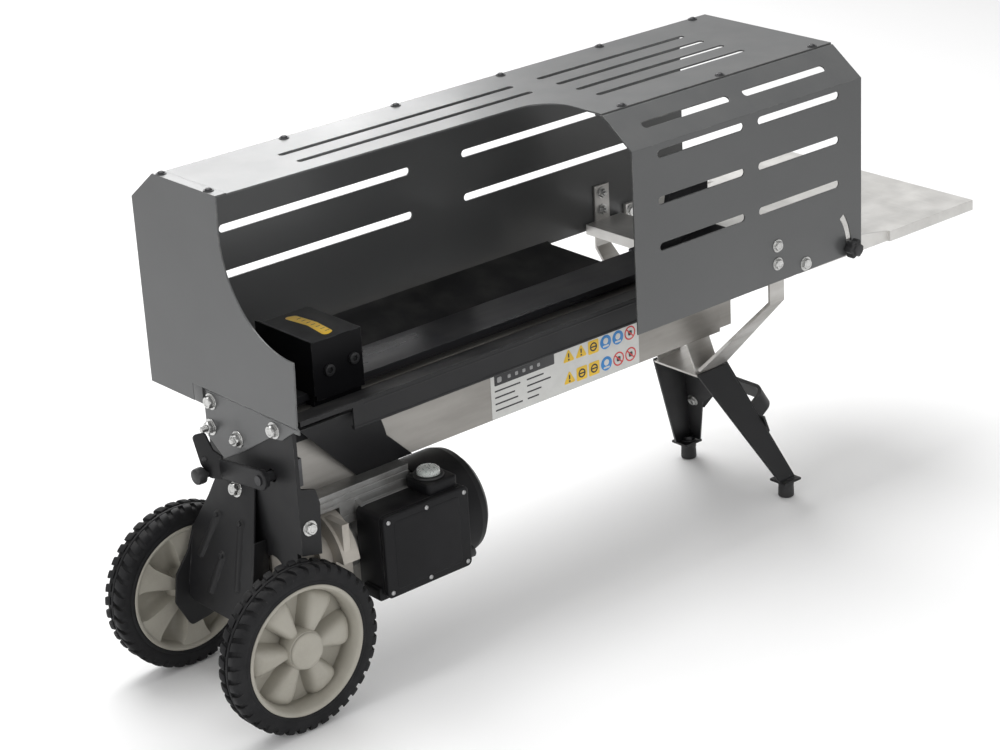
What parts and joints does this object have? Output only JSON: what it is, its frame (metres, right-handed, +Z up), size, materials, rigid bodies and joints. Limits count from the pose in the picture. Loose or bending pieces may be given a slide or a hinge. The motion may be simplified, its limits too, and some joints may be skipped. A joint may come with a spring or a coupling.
{
  "type": "log_splitter",
  "caption": "Electric hydraulic log splitter: galvanised beam with sliding pusher, wedge, slotted grey guard, tilting table, two spoked wheels, motor and control lever",
  "frame": {"origin": "on the ground, under the middle of the whole machine", "axes": "+X along the beam from the wheels to the tilting table; +Y across, away from the motor and lever side; +Z up"},
  "size_m": [1.225, 0.364, 0.6202],
  "materials": {
    "guard_paint": "semi-gloss grey enamel",
    "frame_paint": "satin black enamel",
    "galvanised_steel": "galvanised, faint brush lines",
    "zinc_fasteners": "bright zinc plate",
    "black_fasteners": "black oxide",
    "bright_rod": "hard chrome",
    "machined_steel": "machined",
    "track_steel": "black, worn along the top",
    "pusher_paint": "gloss black",
    "cast_iron": "as cast",
    "motor_alloy": "cast and ribbed, satin",
    "winding": "varnished",
    "tyre_rubber": "matte, moulded lugs",
    "rim_plastic": "cream moulding",
    "box_plastic": "black, slight sheen",
    "knob_plastic": "black moulding",
    "button_plastic": "green under a clear boot",
    "foot_rubber": "matte"
  },
  "bodies": {
    "frame": {"beam_tube": "galvanised_steel", "beam_end_cap": "galvanised_steel", "track_rail": "track_steel", "cradle_front": "frame_paint", "cradle_back": "frame_paint", "cradle_gussets": "frame_paint", "base_plate": "frame_paint", "valve_block": "cast_iron", "guard_end_panel": "guard_paint", "guard_back_panel": "guard_paint", "guard_top_panel": "guard_paint", "guard_front_panel": "guard_paint", "guard_screws": "black_fasteners", "end_bolts": "zinc_fasteners", "strap_front": "galvanised_steel", "strap_back": "galvanised_steel", "guard_bolts": "zinc_fasteners", "wedge": "track_steel", "inner_table": "galvanised_steel", "leg_mount": "frame_paint", "leg_front": "frame_paint", "leg_back": "frame_paint", "leg_bolts": "zinc_fasteners", "rubber_feet": "foot_rubber", "pull_handle": "frame_paint", "wheel_bracket": "frame_paint", "axle": "machined_steel", "cylinder_rod": "bright_rod", "piston": "machined_steel", "pump_body": "cast_iron", "adapter_plate": "motor_alloy", "motor_housing": "motor_alloy", "stator": "winding", "motor_bearings": "machined_steel", "fan_cover": "box_plastic", "switch_box": "box_plastic", "switch_cover": "box_plastic", "cover_screws": "zinc_fasteners", "power_inlet": "knob_plastic"},
    "pusher": {"pusher_block": "pusher_paint", "pusher_cover": "pusher_paint", "pusher_bolts": "black_fasteners", "drive_yoke": "machined_steel", "cylinder_barrel": "machined_steel"},
    "wheel_front": {"tyre_front": "tyre_rubber", "rim_front": "rim_plastic", "hub_cap_front": "rim_plastic"},
    "wheel_back": {"tyre_back": "tyre_rubber", "rim_back": "rim_plastic", "hub_cap_back": "rim_plastic"},
    "rotor": {"rotor_shaft": "machined_steel", "cooling_fan": "knob_plastic", "drive_gear": "machined_steel"},
    "idler_gear": {"driven_gear": "machined_steel"},
    "lever": {"control_lever": "frame_paint", "lever_knob": "knob_plastic", "valve_spindle": "machined_steel"},
    "button": {"start_button": "button_plastic"},
    "table": {"tilt_table": "galvanised_steel"},
    "lock_knob_front": {"star_knob_front": "knob_plastic"},
    "lock_knob_back": {"star_knob_back": "knob_plastic"}
  },
  "joints": [
    {"name": "pusher_stroke", "type": "slide", "parent": "frame", "child": "pusher", "axis": [1, 0, 0], "range_m": [0, 0.325]},
    {"name": "wheel_front_spin", "type": "hinge", "parent": "frame", "child": "wheel_front", "pos_m": [-0.5095, -0.116, 0.103], "axis": [0, 1, 0], "continuous": true},
    {"name": "wheel_back_spin", "type": "hinge", "parent": "frame", "child": "wheel_back", "pos_m": [-0.5095, 0.116, 0.103], "axis": [0, 1, 0], "continuous": true},
    {"name": "motor_spin", "type": "hinge", "parent": "frame", "child": "rotor", "pos_m": [-0.3725, -0.05, 0.168], "axis": [1, 0, 0], "continuous": true},
    {"name": "pump_idler_spin", "type": "hinge", "parent": "frame", "child": "idler_gear", "pos_m": [-0.4665, -0.022, 0.168], "axis": [1, 0, 0], "continuous": true},
    {"name": "lever_press", "type": "hinge", "parent": "frame", "child": "lever", "pos_m": [-0.4925, -0.062, 0.294], "axis": [-1, 0, 0], "range_deg": [0, 15], "stiffness_Nm_per_rad": 2.5, "springref_deg": -11.46},
    {"name": "button_press", "type": "slide", "parent": "frame", "child": "button", "axis": [0, 0, -1], "range_m": [0, 0.003], "stiffness_N_per_m": 600, "springref_m": -0.001},
    {"name": "table_tilt", "type": "hinge", "parent": "frame", "child": "table", "pos_m": [0.2865, 0, 0.359], "axis": [0, -1, 0], "range_deg": [0, 30]},
    {"name": "lock_front_turn", "type": "hinge", "parent": "table", "child": "lock_knob_front", "pos_m": [0.3685, -0.17, 0.359], "axis": [0, -1, 0], "continuous": true},
    {"name": "lock_back_turn", "type": "hinge", "parent": "table", "child": "lock_knob_back", "pos_m": [0.3685, 0.17, 0.359], "axis": [0, 1, 0], "continuous": true}
  ],
  "couplings": [
    {"joint": "pump_idler_spin", "follows": "motor_spin", "ratio": -1}
  ]
}
